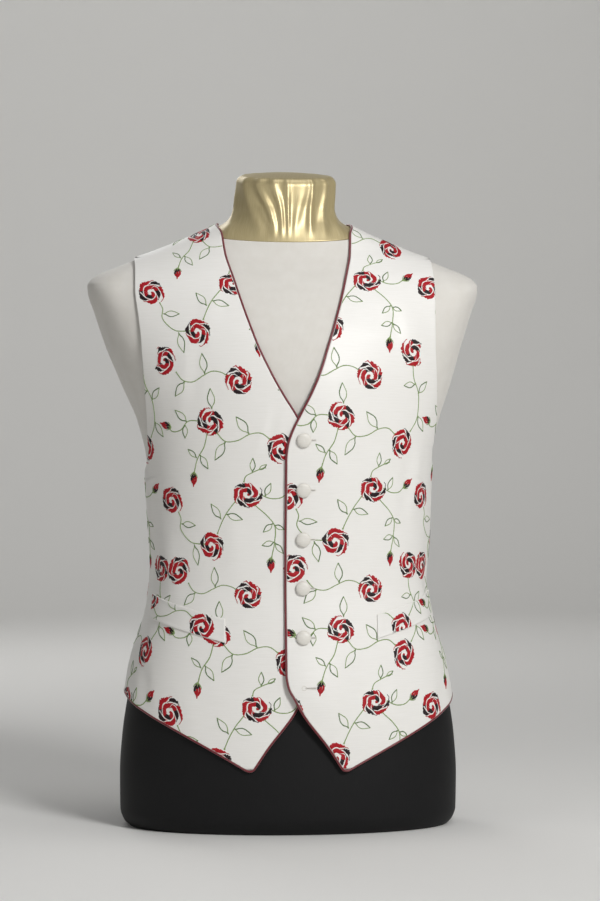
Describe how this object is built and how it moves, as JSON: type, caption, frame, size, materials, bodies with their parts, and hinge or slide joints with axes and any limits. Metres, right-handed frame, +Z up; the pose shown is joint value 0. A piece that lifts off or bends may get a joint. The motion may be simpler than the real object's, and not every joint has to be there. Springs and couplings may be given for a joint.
{
  "type": "embroidered waistcoat on a limbless dress form",
  "caption": "Single-breasted sleeveless waistcoat with V neck, pointed fronts, piped edges and welt pockets, buttoned on a dress form with no head, arms or legs.",
  "frame": {"origin": "on the floor, midway across the form's flat base and under its front-to-back centre line", "axes": "+X to the wearer's left, -Y to the front, +Z up"},
  "size_m": [0.4524, 0.2755, 0.758],
  "materials": {
    "front_silk": "ivory silk with a soft sheen, embroidered with roses",
    "back_silk": "plain ivory satin",
    "button_silk": "ivory silk drawn over a domed button",
    "piping_silk": "maroon silk over cord",
    "form_lower_cover": "smooth black cloth, drawn tight",
    "form_body_cover": "off-white jersey, drawn tight",
    "form_neck_cover": "old gold satin in soft folds"
  },
  "bodies": {
    "root": {"front_left": "front_silk", "front_right": "front_silk", "back_left": "back_silk", "back_right": "back_silk", "piping_left": "piping_silk", "piping_right": "piping_silk", "welt_left": "front_silk", "welt_right": "front_silk", "button_1": "button_silk", "button_2": "button_silk", "button_3": "button_silk", "button_4": "button_silk", "button_5": "button_silk", "button_6": "button_silk", "form_lower": "form_lower_cover", "form_body": "form_body_cover", "form_neck": "form_neck_cover"}
  },
  "joints": []
}
